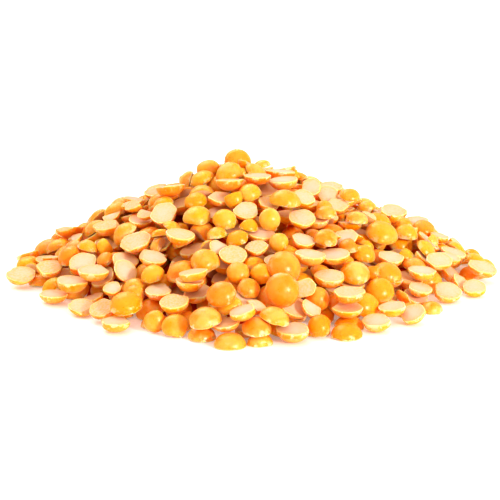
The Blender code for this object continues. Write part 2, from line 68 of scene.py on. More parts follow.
# The rule that lays the peas, on a square grid of heights
CELL = 0.35 * MM
HALF_GRID = 66 * MM
WINDOW = 26
LAYERS = 8.0 * MM
LAST_LAYER = 2.4 * MM
SEED = 11
MOST_PEAS = 2000
SPOTS_TRIED = 160
MOST_MISSES = 12
MIN_LACK = 1.7 * MM
SMALL_LACK = 2.8 * MM
MOST_OVER = 0.5 * MM
DEEP_LACK = 3.0 * MM
DEEP_SHARE = 0.3
MOST_COVERED = 0.22
CLOSED = 10.0 * MM
CLOSED_CELLS = 4
SLOPE_CELLS = 6
STEEPEST = 0.6
LEAN = 0.33
FACE_UP_SHARE = 0.5
BROKEN_AT = (0.0, 0.5)

# How a pea finds its rest: rounds of tries, each round moving and turning it less than the one before.
# Its weight lies this share of its thickness over the flat face, and this share of a broken part aside.
ROUNDS = 6
TRIES = 12
MOVE = 1.5 * MM
SWING = 0.22
SHOWN_ROUNDS = 4
SHOWN_MOVE = 0.3 * MM
SHOWN_SWING = 0.08
FADE = 0.75
NEARER = 0.5
WEIGHT_HIGH = 0.375
WEIGHT_ASIDE = 0.35

# Rounding that keeps the layout the same on every machine
LEAST_RISE = 1e-9
COUNTED = 1e7
DECIMALS = 6

# The front view: the eye stands this far off and this many degrees up, and aims at this spot
VIEW_AWAY = 450 * MM
VIEW_UP = 15
AIM_X = -0.2 * MM
AIM_Z = 5.6 * MM
VIEW_COS = round(math.cos(math.radians(VIEW_UP)), DECIMALS)
VIEW_SIN = round(math.sin(math.radians(VIEW_UP)), DECIMALS)

# Where a shown pea is tried: in steps along its line of sight, drawn to a surface a little under the mound's
SIGHT_STEP = 0.5 * MM
SIGHT_FROM = -58 * MM
SIGHT_TO = 30 * MM
SURFACE_PULL = 0.15
SHOWN_BELOW = 0.8 * MM

# A shown pea's depth as a share of its width, how much taller than its thickness it looks at least,
# and the steps and the least sine with which its lean is worked out
SHOWN_ROUND = 0.96
SHOWN_LEAST_TALL = 0.01
LEVEL_LEAST_TALL = 0.04
TURN_HALVINGS = 12
LEAST_SIN = 0.2

# The peas that stand out from the front, in millimetres on a sheet through the aim, square to the view:
# what each shows, across, up, its outline's width and height, and its tilt in degrees.
# "back" shows the rounded back, "face" the flat face, "level" the rim of a face that lies nearly level.
TOP_PEAS = (
    ("back", -2.5, 20.5, 6.5, 6.5, 0),
    ("back", -9.5, 19.0, 6.0, 4.5, 0),
    ("face", -14.5, 14.0, 6.0, 4.5, 0),
    ("face", -7.0, 12.5, 6.0, 4.5, 0),
    ("face", 6.5, 18.0, 7.5, 4.5, -8),
    ("level", 7.5, 15.5, 7.0, 3.5, -5),
    ("face", 13.5, 15.0, 5.5, 5.0, 0),
    ("face", 18.0, 14.0, 5.0, 4.5, 0),
    ("back", 22.5, 13.0, 5.0, 4.0, 0),
    ("level", -4.0, 15.5, 7.0, 3.5, 3),
    ("back", 0.0, 13.5, 6.0, 4.0, 25),
    ("back", -8.5, 16.5, 4.0, 3.5, 60),
    ("face", -19.0, 9.0, 7.0, 6.0, 20),
    ("back", -12.5, 11.5, 6.0, 4.0, 0),
    ("back", -12.0, 8.5, 7.0, 5.0, -10),
    ("face", -1.0, 9.0, 6.0, 5.0, -15),
    ("back", -6.0, 7.5, 5.5, 4.5, -10),
    ("face", 11.5, 8.5, 6.5, 5.0, 0),
    ("back", 17.0, 9.0, 5.0, 3.5, -10),
    ("face", 19.5, 10.5, 6.0, 4.0, -5),
    ("back", 4.5, 7.0, 5.0, 5.5, 0),
    ("back", 8.0, 6.5, 4.0, 4.5, 0),
    ("back", -4.5, 6.5, 4.5, 3.0, 10),
    ("face", 4.0, 11.0, 5.5, 4.0, -30),
    ("back", 8.0, 12.0, 7.5, 4.0, -12),
)
MIDDLE_PEAS = (
    ("back", -3.0, 3.5, 5.5, 4.0, 10),
    ("level", -15.5, 4.0, 7.0, 3.5, -5),
    ("face", -7.5, 1.0, 4.5, 4.0, -35),
    ("face", 1.5, 2.0, 5.5, 4.5, 10),
    ("back", 6.5, 2.5, 4.5, 4.0, 30),
    ("face", 11.5, 2.5, 5.5, 4.0, -25),
    ("back", 17.0, 3.0, 6.0, 4.5, -15),
    ("face", 22.0, 3.5, 5.5, 5.0, 20),
    ("back", 24.0, 7.5, 5.5, 3.5, 0),
    ("back", 29.5, 5.0, 7.5, 5.5, 0),
    ("back", 7.5, -2.5, 7.5, 7.0, 0),
    ("back", 7.5, -8.5, 7.5, 7.5, 0),
    ("face", 12.5, -7.5, 5.0, 5.0, -30),
    ("back", 23.5, -4.5, 7.0, 6.0, 0),
    ("face", 22.5, -9.5, 7.5, 5.0, 0),
    ("level", 21.5, -13.0, 7.0, 4.0, -5),
    ("level", 19.5, -1.0, 7.0, 3.5, 0),
    ("level", 17.5, -5.5, 7.0, 4.0, -10),
    ("back", 15.0, -10.5, 5.5, 5.5, 20),
    ("back", -6.5, -9.0, 6.5, 6.0, 25),
    ("back", -0.5, -8.0, 5.5, 5.0, -20),
    ("back", 3.0, -5.0, 5.5, 5.0, 0),
    ("back", -2.5, -4.5, 5.5, 5.0, 0),
    ("face", -13.0, -5.0, 7.0, 4.0, 22),
    ("level", 13.0, -1.5, 7.0, 3.5, -8),
    ("back", -10.5, -1.5, 7.0, 5.0, 15),
    ("back", -16.0, -4.0, 7.0, 4.0, 25),
    ("face", -22.0, -1.0, 6.5, 5.0, -15),
    ("level", -28.5, -2.0, 6.5, 4.0, -5),
    ("face", -26.0, 2.5, 7.0, 6.0, 20),
    ("back", -22.0, -5.0, 6.0, 4.0, 0),
    ("level", -20.5, -8.5, 6.5, 3.5, 0),
    ("face", -16.5, -11.5, 7.0, 5.0, 10),
    ("level", -13.5, -8.0, 6.5, 3.0, 0),
)
FRONT_AND_LEFT_PEAS = (
    ("back", -10.0, -14.5, 7.5, 5.0, -5),
    ("back", 5.5, -14.0, 7.0, 4.5, -5),
    ("face", -1.0, -13.5, 6.5, 4.0, 8),
    ("back", -4.5, -12.0, 6.0, 4.0, 10),
    ("face", -5.0, -16.0, 6.0, 4.0, 0),
    ("face", 9.5, -18.0, 7.5, 5.0, 0),
    ("back", 16.0, -16.5, 5.5, 5.0, 10),
    ("back", 21.5, -17.5, 7.0, 4.5, 0),
    ("face", 28.5, -16.0, 6.5, 5.0, 10),
    ("back", 1.5, -17.0, 7.0, 4.5, -8),
    ("back", 2.5, -20.0, 5.5, 3.5, 0),
    ("back", -11.0, -18.5, 6.5, 4.5, 0),
    ("back", -4.0, -19.0, 7.0, 4.5, 0),
    ("back", -17.0, -16.5, 6.0, 5.0, -30),
    ("back", -21.5, -16.0, 5.0, 5.0, 0),
    ("face", -30.5, -16.5, 7.0, 4.0, 8),
    ("back", -28.5, -12.0, 7.5, 5.5, 15),
    ("face", -38.0, -11.5, 6.0, 4.5, 0),
    ("face", -33.0, -12.5, 6.0, 5.0, 10),
    ("level", -44.5, -9.5, 6.5, 4.0, -12),
    ("face", -40.5, -7.0, 7.5, 3.5, -5),
    ("face", -51.5, -5.0, 7.0, 4.5, 0),
    ("face", -45.0, -3.5, 6.5, 4.0, 0),
    ("face", -35.5, -4.5, 7.5, 5.0, 0),
    ("face", -31.0, -8.0, 4.5, 3.5, 5),
    ("back", -26.0, -7.0, 5.5, 4.0, 10),
    ("back", -37.5, 4.5, 6.0, 4.0, 0),
    ("back", -40.5, -0.5, 6.0, 4.5, 20),
    ("back", -50.0, -2.0, 6.0, 3.0, 10),
    ("back", -37.0, 1.5, 5.0, 3.0, 0),
)
RIGHT_PEAS = (
    ("back", 31.0, -4.5, 7.0, 5.5, 0),
    ("back", 29.5, -9.0, 6.5, 6.0, 10),
    ("level", 39.0, -5.0, 6.5, 4.0, 0),
    ("face", 42.5, -1.5, 6.0, 5.0, 0),
    ("face", 44.5, -9.0, 7.0, 6.0, 0),
    ("face", 50.5, -8.0, 6.0, 5.0, -10),
    ("face", 52.0, -3.5, 7.0, 5.0, -30),
    ("back", 37.5, -1.5, 5.5, 4.0, 0),
    ("face", 37.0, -14.0, 6.5, 5.0, 35),
    ("level", 32.5, -12.5, 6.5, 4.0, -5),
    ("back", 41.0, -12.0, 5.5, 3.5, 0),
    ("face", 38.0, -8.5, 6.0, 4.0, -10),
    ("face", 31.5, -1.5, 6.0, 4.0, 0),
    ("face", 37.5, 6.5, 7.0, 5.0, 0),
    ("back", 35.0, 4.5, 6.0, 3.5, 0),
    ("back", 25.5, 0.0, 5.5, 4.0, 0),
    ("face", 26.0, 10.0, 5.0, 4.0, 0),
)

# They are laid in this order, the lowest on the sheet first
SHOWN_PEAS = sorted(TOP_PEAS + MIDDLE_PEAS + FRONT_AND_LEFT_PEAS + RIGHT_PEAS, key=lambda pea: pea[2])

# Where the solid's middle lies in the layout, so that the peas lie where the solid has them
MIDDLE_X = 0.7 * MM
MIDDLE_Y = -2.1 * MM

# A modelled half pea, at a radius and a thickness of 1: its grid, its rounded rim, and how its flat face
# and its breaks are hollowed
SIDES = 20
RINGS = 12
RIM_ROUND = 0.075
RIM_STEPS = 2
SEAT_KEPT = 0.93
DISH_KEPT = 0.58
DISH_DEEP = 0.03
BREAK_DEEP = 0.06

# A pressed side or crown keeps this share of what stood past the line
SIDE_KEPT = 0.12
CROWN_KEPT = 0.5

# A beak or nick starts from the rim past the first of these, no further aside and no higher than the others
BEAK_FROM = 0.9
BEAK_HALF_WIDE = 0.2
BEAK_HIGH = 0.12

# Broken pieces reach this far past their middle. Points at a break that lie nearer than this are merged.
BROKEN_CUTS = (0.0, 0.17, 0.33, 0.5)
LEAST_EDGE = 0.05

# A face counts as flat from this cosine on, and an edge is sharp from this angle on
FLAT_DOT = 0.99
SHARP_FROM = math.radians(50)

# Which of the shapes a pea has: a placed back that looks this many millimetres tall is a calm round dome,
# and of the others that are whole and don't show their face, this share is round
BIG_DOME = 5.5
DOME_CALM = 0.3
ROUND_SHARE = 0.4

# How far the peas differ from each other: waves round the outline with the most that each draws in, the lean
# of the thickness, and the thickness of a pea that lies face up or face down
OUTLINE_WAVES = ((2, 0.07), (3, 0.06), (5, 0.03))
LEVEL_WOBBLE = 0.08
BOWL_THICK = (0.8, 0.94)
DOME_THICK = (0.9, 1.0)
WOBBLE_SEED = 23

# A pea's own field of the map: the back on its left half and the flesh on its right half
HALF_FIELD = (0.5, 1.0)
BACK_AT = (0.25, 0.5)
BACK_FIELD = 0.44
FLESH_AT = (0.75, 0.5)
FLESH_FIELD = 0.3
FLESH_SPREAD = 0.6
FLESH_MIDDLE = 0.1
LEAST_REACH = 1e-6

# A pea that lies deeper than this under the heap's surface is left out
DEEPEST_KEPT = 7.5 * MM

# The core under the peas
CORE_CELLS = 72
CORE_BELOW = 6.5 * MM
CORE_LEAST = 0.6 * MM
CORE_FROM = 0.8 * MM
CORE_COVERED = 0.999
CORE_REACH = 0.9
CORE_SMOOTHING = 8

# Spots of noise: how large the patches, torn bits, wrinkles and grains are, and how fine and rough
PATCH_SIZE = 2.6 * MM
PEEL_SIZE = 1.6 * MM
WRINKLE_SIZE = 0.9 * MM
GRAIN_SIZE = 0.5 * MM
SPOT_DETAIL = 3.0
SPOT_ROUGHNESS = 0.55

# The skin, in colours as light and not as print: gold to deep orange, dusty in patches, cream along the rim,
# and pale where it is torn. A span says where along a noise or a height one look turns into the other.
# Relief has a depth, and the share of it that shows.
SKIN_TONES = (
    (0.0, (0.99, 0.45, 0.005)),
    (0.35, (0.98, 0.395, 0.003)),
    (0.8, (0.97, 0.34, 0.002)),
    (1.0, (0.95, 0.28, 0.002)),
)
DUSTY = (0.97, 0.52, 0.14)
DUSTY_SPAN = (0.36, 0.62)
RIM_CREAM = (0.96, 0.67, 0.30)
RIM_SPAN = (0.0, 0.12)
PEEL_PALE = (0.96, 0.72, 0.44)
PEEL_SPAN = (0.0, 0.6)
TORN_SPAN = (0.53, 0.58)
SKIN_GLOSS = (0.26, 0.38)
GLOSS_SPAN = (0.3, 0.7)
SKIN_SHINE = 0.5
SKIN_DUST = 0.1
DUST_SOFT = 0.5
DUST_TINT = (1.0, 0.86, 0.7)
SKIN_GLOW = 0.8
SKIN_REACH = (1.0, 0.25, 0.04)
WRINKLE_DEEP = 0.12 * MM
WRINKLE_SHARE = 0.5

# The flesh: cream with a peach cast, palest in the middle and warmer in a band inside the rim
FLESH_TONES = (
    (0.0, (0.86, 0.465, 0.15)),
    (0.3, (0.84, 0.50, 0.24)),
    (1.0, (0.815, 0.513, 0.315)),
)
FLESH_WARM = (0.87, 0.46, 0.14)
WARM_SPAN = (0.45, 0.62)
WARM_MOST = 0.6
WARM_BAND = ((0.72, 0.0), (0.88, 0.45), (0.95, 0.0))
FLESH_LIGHT = (0.82, 0.551, 0.395)
LIGHT_SPAN = (0.35, 0.7)
FLESH_PALE = (0.79, 0.57, 0.445)
PALE_SPAN = (0.2, 0.75)
PALE_MOST = 0.9
FLESH_DULL = 0.6
FLESH_SHINE = 0.2
FLESH_GLOW = 0.3
FLESH_REACH = (1.0, 0.85, 0.35)
GRAIN_DEEP = 0.1 * MM
GRAIN_SHARE = 0.5

# How far light spreads inside a pea
GLOW_DEEP = 2.2 * MM

# Painted shade deep between the peas: the dark red-brown that the sunk core shows in the gaps
DEPTH_SHADE_TONES = (
    (0.35, (0.55, 0.03, 0.005)),
    (0.65, (0.80, 0.09, 0.01)),
)
DEPTH_DULL = 0.8
DEPTH_BUMP = 0.6 * MM
DEPTH_SHARE = 0.8

# The white floor, the bright room, and the soft lights: degrees round and up, metres away and wide, watts
FLOOR_WHITE = (0.94, 0.91, 0.91, 1)
FLOOR_LIT = 0.15
FLOOR_DULL = 0.6
FLOOR_WIDE = 4.0
FLOOR_GAP = 0.05 * MM
ROOM_WHITE = (1.0, 1.0, 0.94, 1)
ROOM_BRIGHT = 0.66
SOFT_BOXES = (
    ("back_box", -150, 50, 0.8, 0.5, 1.8),
    ("front_right_box", 36, 18, 0.8, 0.075, 3.0),
    ("top_box", -10, 70, 0.8, 0.8, 0.6),
)

# The camera's lens and sensor, in millimetres
LENS = 143.2
SENSOR = 36.0

Pea = namedtuple("Pea", "place turn half_size cut")
Rest = namedtuple("Rest", "middle turn x y lift cols rows low high")
Shape = namedtuple("Shape", "points faces flesh")


def sum_of(items):
    """The items added in their order, so that the last digit is the same everywhere."""
    total = 0
    for item in items:
        total = total + item
    return total


def reach_share(x, y):
    """0 in the middle of the heap's footprint and 1 on its edge."""
    power = np.where(y < 0, FRONT_POINTED, BACK_POINTED)
    return (np.abs(x / HEAP_REACH) ** power + np.abs(y / HEAP_REACH) ** power) ** (1 / power)


def mound_height(x, y):
    """The smooth surface that the peas fill up to: a cone with a rounded top and a low edge."""
    share = reach_share(x, y)
    to_apex = reach_share(x - APEX_X * (1 - np.minimum(share, 1)), y)
    full = math.sqrt(1 + TOP_ROUNDING ** 2)
    slope = (full - np.sqrt(to_apex ** 2 + TOP_ROUNDING ** 2)) / (full - TOP_ROUNDING)
    height = EDGE_THICK + (HEAP_TOP - EDGE_THICK) * slope
    return np.round(np.where(share < 1, height, 0.0), DECIMALS)


def unit(values):
    """A quaternion or vector at length 1."""
    length = math.sqrt(sum_of(v * v for v in values))
    return tuple(v / length for v in values)


def times(p, q):
    """The turn q followed by the turn p."""
    a, b, c, d = p
    e, f, g, h = q
    return (
        a * e - b * f - c * g - d * h,
        a * f + b * e + c * h - d * g,
        a * g - b * h + c * e + d * f,
        a * h + b * g - c * f + d * e,
    )


def up_onto(direction):
    """The turn that takes +Z onto a unit direction."""
    x, y, z = direction
    return unit((1 + z, -y, x, 0))


def matrix_of(turn):
    """The nine numbers of a turn, as rows."""
    w, x, y, z = turn
    return np.array([
        [1 - 2 * (y * y + z * z), 2 * (x * y - w * z), 2 * (x * z + w * y)],
        [2 * (x * y + w * z), 1 - 2 * (x * x + z * z), 2 * (y * z - w * x)],
        [2 * (x * z - w * y), 2 * (y * z + w * x), 1 - 2 * (x * x + y * y)],
    ])


def clipped(low, high, flat, rise, limit):
    """The stretch between low and high that lies on the far side of a plane."""
    safe = np.where(np.abs(rise) < LEAST_RISE, LEAST_RISE, rise)
    at = (limit - flat) / safe
    low = np.where(safe > 0, np.maximum(low, at), low)
    high = np.where(safe < 0, np.minimum(high, at), high)
    return low, high


def cos_and_sin(angle):
    """The cosine and sine of an angle in radians, rounded so that they are the same everywhere."""
    return round(math.cos(angle), DECIMALS), round(math.sin(angle), DECIMALS)


def outline_share(away, thick):
    """How tall a half pea looks against its width, with its axis this many radians off the line of sight."""
    cos, sin = cos_and_sin(away)
    return 0.5 * cos + math.sqrt(0.25 * cos ** 2 + (thick * sin) ** 2)


def away_for(share):
    """The angle off the line of sight at which a half pea looks this tall, found by halving."""
    near, far = 0.0, math.pi / 2
    for _ in range(TURN_HALVINGS):
        middle = (near + far) / 2
        if outline_share(middle, SHOWN_THICK) > share:
            near = middle
        else:
            far = middle
    return far


class Heap:
    """Peas laid one by one onto a grid of heights, each where it rests lowest."""

    def __init__(self):
        self.draw = random.Random(SEED)
        cells = int(2 * HALF_GRID / CELL)
        line = (np.arange(cells) + 0.5) * CELL - HALF_GRID
        self.x, self.y = np.meshgrid(line, line, indexing="ij")
        self.mound = mound_height(self.x, self.y)
        self.height = np.maximum(self.mound - LAYERS, 0.0)
        self.owner = np.full((cells, cells), -1)
        self.shown = np.zeros((cells, cells), bool)
        self.peas = []

    def cell(self, x, y):
        """The cell of the grid that holds a place."""
        return int((x + HALF_GRID) / CELL), int((y + HALF_GRID) / CELL)

    def spans(self, xs, ys, turns, half_size, cut):
        """Where the under and upper side of a pea lie over each cell round it, measured from its own middle.

        The pea is the upper half of an ellipsoid, and a broken one also lacks what is past its cut.
        """
        steps = np.arange(WINDOW) - WINDOW // 2
        cols = np.floor((xs + HALF_GRID) / CELL).astype(int)[:, None] + steps
        rows = np.floor((ys + HALF_GRID) / CELL).astype(int)[:, None] + steps
        dx = ((cols + 0.5) * CELL - HALF_GRID - xs[:, None])[:, :, None]
        dy = ((rows + 0.5) * CELL - HALF_GRID - ys[:, None])[:, None, :]
        turns = turns[:, :, :, None, None]
        flat = [turns[:, 0, i] * dx + turns[:, 1, i] * dy for i in range(3)]
        rise = [turns[:, 2, i] for i in range(3)]
        squares = sum_of(r * r / (s * s) for r, s in zip(rise, half_size))
        mixed = sum_of(f * r / (s * s) for f, r, s in zip(flat, rise, half_size))
        rest = sum_of(f * f / (s * s) for f, s in zip(flat, half_size)) - 1
        inside = mixed * mixed - squares * rest
        root = np.sqrt(np.maximum(inside, 0))
        low, high = (-mixed - root) / squares, (-mixed + root) / squares
        low, high = clipped(low, high, flat[2], rise[2], 0.0)
        low, high = clipped(low, high, flat[0], rise[0], -cut)
        solid = (inside > 0) & (high > low)
        return cols, rows, np.where(solid, low, np.inf), np.where(solid, high, -np.inf)

    def rested(self, xs, ys, turns, half_size, cut):
        """How high a pea's middle is once it rests on what is laid, at each of these places and turns."""
        cols, rows, low, high = self.spans(xs, ys, turns, half_size, cut)
        under = self.height[cols[:, :, None], rows[:, None, :]]
        lift = (under - low).reshape(len(xs), -1).max(1)
        return lift, (cols, rows, low, high)

    def lying(self, x, y, face_up):
        """A turn with the pea's face along the mound's slope, give or take, and spun at random."""
        i, j = self.cell(x, y)
        across = 2 * SLOPE_CELLS * CELL
        slopes = (
            (self.mound[i - SLOPE_CELLS, j] - self.mound[i + SLOPE_CELLS, j]) / across,
            (self.mound[i, j - SLOPE_CELLS] - self.mound[i, j + SLOPE_CELLS]) / across,
        )
        lean = [max(-STEEPEST, min(STEEPEST, s)) + self.draw.uniform(-LEAN, LEAN) for s in slopes]
        spin = unit((self.draw.uniform(-1, 1), 0, 0, self.draw.uniform(-1, 1)))
        side = (0, 1, 0, 0) if face_up else (1, 0, 0, 0)
        return unit(times(times(up_onto(unit((lean[0], lean[1], 1))), side), spin))

    def settle(self, x, y, half_size, cut, turn=None, rounds=ROUNDS, move=MOVE, swing=SWING):
        """The lowest rest found near a place: a first round of tries, then smaller moves from the best."""
        draw = self.draw
        best = None
        face_up = draw.random() < FACE_UP_SHARE
        for fade in (FADE ** step for step in range(rounds)):
            turns, xs, ys = [], [], []
            for _ in range(TRIES):
                if best is None:
                    turns.append(self.lying(x, y, face_up) if turn is None else turn)
                    xs.append(x + draw.uniform(-move, move))
                    ys.append(y + draw.uniform(-move, move))
                else:
                    turned = swing * fade
                    nudge = unit([1] + [draw.uniform(-turned, turned) for _ in range(3)])
                    turns.append(unit(times(nudge, best.turn)))
                    reach = NEARER * move * fade
                    xs.append(best.x + draw.uniform(-reach, reach))
                    ys.append(best.y + draw.uniform(-reach, reach))
            matrices = np.array([matrix_of(q) for q in turns])
            lift, spans = self.rested(np.array(xs), np.array(ys), matrices, half_size, cut)
            lost = WEIGHT_ASIDE * max(0, half_size[0] - cut)
            middle = lift + matrices[:, 2, 2] * WEIGHT_HIGH * half_size[2] + matrices[:, 2, 0] * lost
            i = int(middle.argmin())
            if best is None or middle[i] < best.middle:
                window = [s[i] for s in spans]
                best = Rest(float(middle[i]), turns[i], xs[i], ys[i], float(lift[i]), *window)
        return best

    def lay(self, rest, half_size, cut, shown=False):
        """Keeps a pea where it rests, and raises the heights under its window to its upper side."""
        window = np.ix_(rest.cols, rest.rows)
        top = rest.lift + rest.high
        covers = top > self.height[window]
        self.height[window] = np.where(covers, top, self.height[window])
        self.owner[window] = np.where(covers, len(self.peas), self.owner[window])
        self.shown[window] = np.where(covers, shown, self.shown[window])
        self.peas.append(Pea((rest.x, rest.y, rest.lift), rest.turn, half_size, cut))

    def fits(self, rest, goal, lack):
        """Whether a pea stands no prouder than allowed, over the footprint and clear of the shown peas."""
        window = np.ix_(rest.cols, rest.rows)
        solid = np.isfinite(rest.high)
        cells = int(solid.sum())
        over = np.where(solid, rest.lift + rest.high - goal[window], 0)
        proud = int(np.round(over * COUNTED).astype(np.int64).sum()) / COUNTED / cells
        covered = int((solid & self.shown[window]).sum()) / cells
        allowed = MOST_OVER + DEEP_SHARE * max(0, lack - DEEP_LACK)
        return proud <= allowed and covered <= MOST_COVERED and self.mound[self.cell(rest.x, rest.y)] > 0

    def fill(self, below=0.0, wide_range=PEA_WIDE, least_lack=MIN_LACK, broken=BROKEN_SHARE):
        """Drops peas where the most is missing under the mound's surface, until little is."""
        draw = self.draw
        goal = np.maximum(self.mound - below, 0.0)
        closed = np.where(self.shown, CLOSED, 0.0)
        misses = 0
        while len(self.peas) < MOST_PEAS and misses <= MOST_MISSES:
            spots = [(draw.randrange(len(goal)), draw.randrange(len(goal))) for _ in range(SPOTS_TRIED)]
            lacks = [goal[s] - self.height[s] - closed[s] for s in spots]
            lack = max(lacks)
            if lack < least_lack:
                misses += 1
                continue
            i, j = spots[lacks.index(lack)]
            wide = (draw.uniform(*wide_range) + draw.uniform(*wide_range)) / 2
            half_size = (wide / 2, wide / 2 * draw.uniform(LEAST_ROUND, 1.0),
                         wide * draw.uniform(*PEA_THICK))
            cut = half_size[0]
            if draw.random() < broken:
                cut *= draw.uniform(*BROKEN_AT)
            rest = self.settle(float(self.x[i, j]), float(self.y[i, j]), half_size, cut)
            if self.fits(rest, goal, lack):
                self.lay(rest, half_size, cut)
            else:
                closed[i - CLOSED_CELLS:i + CLOSED_CELLS, j - CLOSED_CELLS:j + CLOSED_CELLS] += CLOSED

    def show(self, shows, across, up, wide, tall, tilt):
        """Lays a pea where the front shows it, as far back on its line of sight as the mound's surface."""
        share = min(1.0, max(tall / wide, SHOWN_THICK + SHOWN_LEAST_TALL))
        if shows == "level":
            share = max(share, SHOWN_THICK + LEVEL_LEAST_TALL)
        away = away_for(share)
        cos, sin = cos_and_sin(away)
        tilt_cos, tilt_sin = cos_and_sin(math.radians(tilt))
        to_eye = (0.0, -VIEW_COS, VIEW_SIN)
        sheet_up = (0.0, VIEW_SIN, VIEW_COS)
        lean = (-tilt_sin, sheet_up[1] * tilt_cos, sheet_up[2] * tilt_cos)
        axis = [e * cos + u * sin for e, u in zip(to_eye, lean)]
        if shows != "back":
            axis = [-v for v in axis]
        spin = unit((self.draw.uniform(-1, 1), 0, 0, self.draw.uniform(-1, 1)))
        turn = unit(times(up_onto(unit(axis)), spin))
        half_size = (wide / 2, wide / 2 * SHOWN_ROUND, wide * SHOWN_THICK)
        ahead = (outline_share(away, SHOWN_THICK) - cos) / 2 / max(sin, LEAST_SIN) * wide
        eye = (AIM_X, -VIEW_AWAY * VIEW_COS, AIM_Z + VIEW_AWAY * VIEW_SIN)
        spot = (AIM_X + across, sheet_up[1] * up, AIM_Z + sheet_up[2] * up)
        sight = [s - e for s, e in zip(spot, eye)]
        steps = int(round((SIGHT_TO - SIGHT_FROM) / SIGHT_STEP))
        along = (SIGHT_FROM + np.arange(steps) * SIGHT_STEP - eye[1]) / sight[1]
        xs, ys, zs = (e + s * along - a * ahead for e, s, a in zip(eye, sight, axis))
        lift, _ = self.rested(xs, ys, np.array([matrix_of(turn)] * steps), half_size, half_size[0])
        surface = np.array([self.mound[self.cell(x, y)] for x, y in zip(xs, ys)]) - SHOWN_BELOW
        i = int((np.abs(lift - zs) + SURFACE_PULL * np.abs(zs - surface)).argmin())
        rest = self.settle(float(xs[i]), float(ys[i]), half_size, half_size[0],
                           turn=turn, rounds=SHOWN_ROUNDS, move=SHOWN_MOVE, swing=SHOWN_SWING)
        self.lay(rest, half_size, half_size[0], shown=True)

    def shown_area(self):
        """The area in which each pea is the topmost."""
        counts = np.bincount(self.owner[self.owner >= 0].ravel(), minlength=len(self.peas))
        return counts * CELL * CELL


def laid_heap():
    """The whole heap: the lower layers, the peas that the front shows, the last layer, and small pieces."""
    heap = Heap()
    heap.fill(below=LAST_LAYER)
    heap.first_shown = len(heap.peas)
    for shows, across, up, wide, tall, tilt in SHOWN_PEAS:
        heap.show(shows, across * MM, up * MM, wide * MM, tall * MM, tilt)
    heap.fill()
    heap.fill(wide_range=SMALL_PEA_WIDE, least_lack=SMALL_LACK, broken=SMALL_BROKEN_SHARE)
    return heap


def smoothed(height):
    """The heights, each as the mean of the cells round it."""
    reach = range(-CORE_SMOOTHING, CORE_SMOOTHING + 1)
    along = sum_of(np.roll(height, step, axis=0) for step in reach)
    both = sum_of(np.roll(along, step, axis=1) for step in reach)
    return both / len(reach) ** 2


def select_parts(kind, test):
    """Selects the points, edges or faces of the pea in edit mode that pass the test, and nothing else."""
    bpy.ops.mesh.select_mode(type=kind)
    bpy.ops.mesh.select_all(action="DESELECT")
    mesh = bmesh.from_edit_mesh(bpy.context.object.data)
    parts = {"VERT": mesh.verts, "EDGE": mesh.edges, "FACE": mesh.faces}[kind]
    for part in parts:
        part.select_set(test(part))
    mesh.select_flush_mode()
    bmesh.update_edit_mesh(bpy.context.object.data)


def call_flesh():
    """Marks the selected faces as the pea's pale inside."""
    bpy.context.object.active_material_index = 1
    bpy.ops.object.material_slot_assign()


def spin_pea(degrees):
    """Turns the pea about its own Z."""
    bpy.ops.mesh.select_all(action="SELECT")
    bpy.ops.transform.rotate(value=math.radians(degrees), orient_axis="Z", center_override=(0, 0, 0))


def press_side(at):
    """Presses the side towards +X nearly flat, which leaves a corner at each end of it."""
    select_parts("VERT", lambda v: v.co.x > at)
    bpy.ops.transform.resize(value=(SIDE_KEPT, 1, 1), center_override=(at, 0, 0))


def press_crown(at):
    """Presses the top of the back flatter."""
    select_parts("VERT", lambda v: v.co.z > at)
    bpy.ops.transform.resize(value=(1, 1, CROWN_KEPT), center_override=(0, 0, at))


def pull_rim(reach, width):
    """Moves the rim towards +X out to a beak, or in to a nick if the reach is below nought."""
    select_parts("VERT", lambda v: (v.co.x > BEAK_FROM and abs(v.co.y) < BEAK_HALF_WIDE
                                    and v.co.z < BEAK_HIGH))
    bpy.ops.transform.translate(value=(reach, 0, 0), use_proportional_edit=True,
                                proportional_edit_falloff="SHARP", proportional_size=width)


def chip_rim(at, lean):
    """Breaks a slanted chip off the rim at +X, so that the flesh shows in the skin's side."""
    away = Vector((math.cos(lean), 0, -math.sin(lean)))
    bpy.ops.mesh.select_all(action="SELECT")
    bpy.ops.mesh.bisect(plane_co=(at, 0, 0), plane_no=away, use_fill=True, clear_outer=True)
    bpy.ops.mesh.select_all(action="SELECT")
    bpy.ops.mesh.remove_doubles(threshold=LEAST_EDGE)
    select_parts("FACE", lambda f: f.normal.dot(away) > FLAT_DOT)
    call_flesh()


def break_off(at):
    """Breaks the pea across at this X, and keeps the side towards +X."""
    bpy.ops.mesh.select_all(action="SELECT")
    bpy.ops.mesh.bisect(plane_co=(at, 0, 0), plane_no=(1, 0, 0), use_fill=True, clear_inner=True)
    bpy.ops.mesh.select_all(action="SELECT")
    bpy.ops.mesh.remove_doubles(threshold=LEAST_EDGE)
    select_parts("FACE", lambda f: f.normal.x < -FLAT_DOT)
    call_flesh()


def dish_face():
    """Sinks the flat face a little, from a level seat inside the rim down to its middle."""
    select_parts("FACE", lambda f: f.material_index == 1 and f.normal.z < -FLAT_DOT)
    mesh = bmesh.from_edit_mesh(bpy.context.object.data)
    middle = next(f for f in mesh.faces if f.select).calc_center_bounds()
    for kept, deeper in ((SEAT_KEPT, 0.0), (DISH_KEPT, DISH_DEEP)):
        bpy.ops.mesh.inset(thickness=0, depth=-deeper)
        bpy.ops.transform.resize(value=(kept, kept, 1), center_override=middle)
    bpy.ops.mesh.poke()


